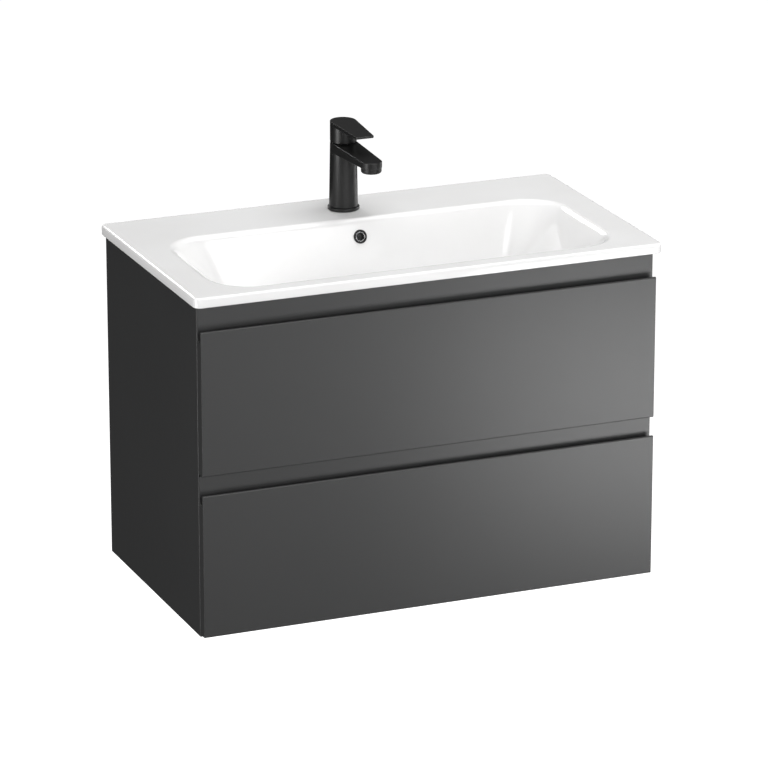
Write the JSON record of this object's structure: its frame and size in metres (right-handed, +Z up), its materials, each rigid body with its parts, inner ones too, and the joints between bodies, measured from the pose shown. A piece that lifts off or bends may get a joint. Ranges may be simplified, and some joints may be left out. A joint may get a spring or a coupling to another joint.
{
  "type": "bathroom vanity cabinet",
  "caption": "Wall-hung bathroom vanity with handleless drawers, a drop-on ceramic basin, a single-lever mixer tap and a bottle trap.",
  "frame": {"origin": "on the wall plane, on the cabinet's centre line, at the underside of the carcass", "axes": "+X to the right as seen by a user, the drawers open towards -Y, +Y points into the wall, +Z up"},
  "size_m": [0.82, 0.505, 0.737],
  "materials": {
    "graphite_lacquer": "satin graphite lacquer on fibreboard",
    "glazed_ceramic": "gloss white glaze",
    "satin_black": "satin black coating on brass",
    "zinc_steel": "zinc plated",
    "drawer_steel": "powder-coated grey",
    "drawer_board": "grey melamine-faced chipboard",
    "grey_plastic": "moulded, fine grain",
    "white_plastic": "moulded, smooth",
    "chrome": "polished",
    "black_rubber": "matt",
    "soft_bumper": "soft, milky"
  },
  "bodies": {
    "cabinet": {"side_panel_left": "graphite_lacquer", "side_panel_right": "graphite_lacquer", "bottom_panel": "graphite_lacquer", "back_rail_upper": "graphite_lacquer", "back_rail_lower": "graphite_lacquer", "front_stretcher": "zinc_steel", "cam_locks": "zinc_steel", "front_bumpers": "soft_bumper", "hanger_brackets": "white_plastic", "wall_plates": "zinc_steel", "basin": "glazed_ceramic", "overflow_ring": "satin_black", "waste_body": "chrome", "waste_washer": "black_rubber", "waste_nut": "white_plastic", "trap_inlet_nut": "white_plastic", "trap_tailpipe": "white_plastic", "trap_top_nut": "white_plastic", "trap_body": "white_plastic", "trap_cup": "white_plastic", "trap_outlet_nut": "white_plastic", "outlet_pipe": "white_plastic", "wall_rosette": "white_plastic", "tap_gasket": "black_rubber", "tap_base_ring": "satin_black", "tap_body": "satin_black", "tap_aerator": "satin_black", "tap_stud": "zinc_steel", "tap_clamp_washer": "zinc_steel", "tap_clamp_nut": "zinc_steel", "tap_cartridge": "white_plastic", "upper_runner_left": "zinc_steel", "upper_runner_right": "zinc_steel", "lower_runner_left": "zinc_steel", "lower_runner_right": "zinc_steel"},
    "upper_drawer": {"upper_front": "graphite_lacquer", "upper_front_backing": "graphite_lacquer", "upper_side_left": "drawer_steel", "upper_side_right": "drawer_steel", "upper_rail_left": "zinc_steel", "upper_rail_right": "zinc_steel", "upper_bottom": "drawer_board", "upper_backs": "drawer_board", "upper_trap_liner": "grey_plastic", "upper_front_brackets": "zinc_steel"},
    "lower_drawer": {"lower_front": "graphite_lacquer", "lower_front_backing": "graphite_lacquer", "lower_side_left": "drawer_steel", "lower_side_right": "drawer_steel", "lower_rail_left": "zinc_steel", "lower_rail_right": "zinc_steel", "lower_bottom": "drawer_board", "lower_back": "drawer_board", "lower_front_brackets": "zinc_steel"},
    "upper_middle": {"upper_middle_rails": "zinc_steel"},
    "lower_middle": {"lower_middle_rails": "zinc_steel"},
    "tap_carrier": {"tap_stem_carrier": "white_plastic"},
    "tap_handle": {"tap_lever": "satin_black", "lever_screw_cap": "black_rubber"},
    "plug": {"waste_plug": "chrome"}
  },
  "joints": [
    {"name": "upper_drawer_slide", "type": "slide", "parent": "cabinet", "child": "upper_drawer", "axis": [0, -1, 0], "range_m": [0, 0.34]},
    {"name": "upper_middle_slide", "type": "slide", "parent": "cabinet", "child": "upper_middle", "axis": [0, -1, 0], "range_m": [0, 0.17]},
    {"name": "lower_drawer_slide", "type": "slide", "parent": "cabinet", "child": "lower_drawer", "axis": [0, -1, 0], "range_m": [0, 0.34]},
    {"name": "lower_middle_slide", "type": "slide", "parent": "cabinet", "child": "lower_middle", "axis": [0, -1, 0], "range_m": [0, 0.17]},
    {"name": "lever_swivel", "type": "hinge", "parent": "cabinet", "child": "tap_carrier", "pos_m": [0, -0.07, 0.7], "axis": [0, 0, 1], "range_deg": [-45, 45]},
    {"name": "lever_lift", "type": "hinge", "parent": "tap_carrier", "child": "tap_handle", "pos_m": [0, -0.07, 0.706], "axis": [-1, 0, 0], "range_deg": [0, 25]},
    {"name": "plug_slide", "type": "slide", "parent": "cabinet", "child": "plug", "axis": [0, 0, 1], "range_m": [0, 0.008]}
  ],
  "couplings": [
    {"joint": "upper_middle_slide", "follows": "upper_drawer_slide", "ratio": 0.5},
    {"joint": "lower_middle_slide", "follows": "lower_drawer_slide", "ratio": 0.5}
  ]
}
